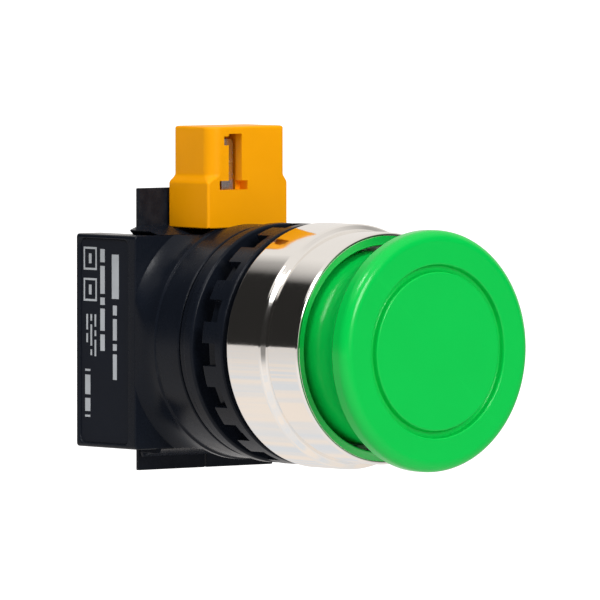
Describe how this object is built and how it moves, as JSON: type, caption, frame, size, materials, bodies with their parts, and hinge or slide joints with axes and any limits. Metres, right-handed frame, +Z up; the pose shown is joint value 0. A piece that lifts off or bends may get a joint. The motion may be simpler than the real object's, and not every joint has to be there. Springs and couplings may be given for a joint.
{
  "type": "industrial push button",
  "caption": "Panel-mount momentary push button with a green mushroom head, chrome bezel, notched ring nut, yellow safety lock and snap-in contact blocks with screw terminals.",
  "frame": {"origin": "centre of the bezel's rear face, on the button's axis, where it meets the panel's front", "axes": "-Y out of the panel through the head, +Z up towards the safety lock, +X to the right seen from the front"},
  "size_m": [0.0296, 0.0513, 0.0419],
  "materials": {
    "green_gloss": "glossy moulded green",
    "yellow_plastic": "satin moulded yellow",
    "black_plastic": "satin moulded black",
    "grey_plastic": "satin moulded grey",
    "chrome": "polished chrome plate",
    "die_cast": "die-cast, dull",
    "zinc_steel": "zinc-plated sheet and screws",
    "spring_steel": "drawn spring wire",
    "silver_alloy": "silver-faced contact bar",
    "brass": "stamped sheet",
    "rubber": "moulded nitrile"
  },
  "bodies": {
    "body": {"bezel": "chrome", "operator_sleeve": "die_cast", "shaft_seal": "rubber", "return_spring": "spring_steel", "panel_gasket": "rubber", "adapter_nose": "black_plastic", "adapter_body": "black_plastic", "bayonet_ring": "black_plastic", "locking_lever": "zinc_steel", "no_housing": "black_plastic", "no_cover": "black_plastic", "nc_housing": "black_plastic", "nc_cover": "black_plastic", "no_upper_terminal": "brass", "no_upper_clamp": "zinc_steel", "no_upper_screw": "zinc_steel", "no_lower_terminal": "brass", "no_lower_clamp": "zinc_steel", "no_lower_screw": "zinc_steel", "nc_upper_terminal": "brass", "nc_upper_clamp": "zinc_steel", "nc_upper_screw": "zinc_steel", "nc_lower_terminal": "brass", "nc_lower_clamp": "zinc_steel", "nc_lower_screw": "zinc_steel"},
    "button": {"button_cap": "green_gloss", "plunger": "grey_plastic", "retaining_clip": "spring_steel", "pusher": "black_plastic"},
    "ring_washer": {"thrust_washer": "grey_plastic"},
    "ring_nut": {"locking_ring": "black_plastic"},
    "lock_clip": {"safety_lock": "yellow_plastic"},
    "no_slider": {"no_carrier": "grey_plastic", "no_contact_spring": "spring_steel"},
    "no_bar": {"no_bridge": "silver_alloy"},
    "nc_slider": {"nc_carrier": "grey_plastic", "nc_contact_spring": "spring_steel"},
    "nc_bar": {"nc_bridge": "silver_alloy"}
  },
  "joints": [
    {"name": "button_press", "type": "slide", "parent": "body", "child": "button", "axis": [0, 1, 0], "range_m": [0, 0.004], "stiffness_N_per_m": 600, "springref_m": -0.005, "deforming": ["return_spring"]},
    {"name": "no_carrier_slide", "type": "slide", "parent": "body", "child": "no_slider", "axis": [0, 1, 0], "range_m": [0, 0.004], "deforming": ["no_contact_spring"]},
    {"name": "nc_carrier_slide", "type": "slide", "parent": "body", "child": "nc_slider", "axis": [0, 1, 0], "range_m": [0, 0.004], "deforming": ["nc_contact_spring"]},
    {"name": "no_bridge_slide", "type": "slide", "parent": "body", "child": "no_bar", "axis": [0, 1, 0], "range_m": [0, 0.00267]},
    {"name": "nc_bridge_slide", "type": "slide", "parent": "body", "child": "nc_bar", "axis": [0, 1, 0], "range_m": [0, 0.00267]},
    {"name": "ring_run", "type": "slide", "parent": "body", "child": "ring_washer", "axis": [0, 1, 0], "range_m": [0, 0.0015]},
    {"name": "ring_turn", "type": "hinge", "parent": "ring_washer", "child": "ring_nut", "pos_m": [0, 0.003, 0], "axis": [0, 1, 0], "range_deg": [0, 360]},
    {"name": "safety_lock_lift", "type": "slide", "parent": "body", "child": "lock_clip", "axis": [0, 0, 1], "range_m": [0, 0.0115]}
  ],
  "couplings": [
    {"joint": "no_carrier_slide", "follows": "button_press", "ratio": 1},
    {"joint": "nc_carrier_slide", "follows": "button_press", "ratio": 1},
    {"joint": "no_bridge_slide", "follows": "button_press", "ratio": 0.66667},
    {"joint": "nc_bridge_slide", "follows": "button_press", "ratio": 0.66667},
    {"joint": "ring_run", "follows": "ring_turn", "m_per_rad": 0.00023873}
  ]
}
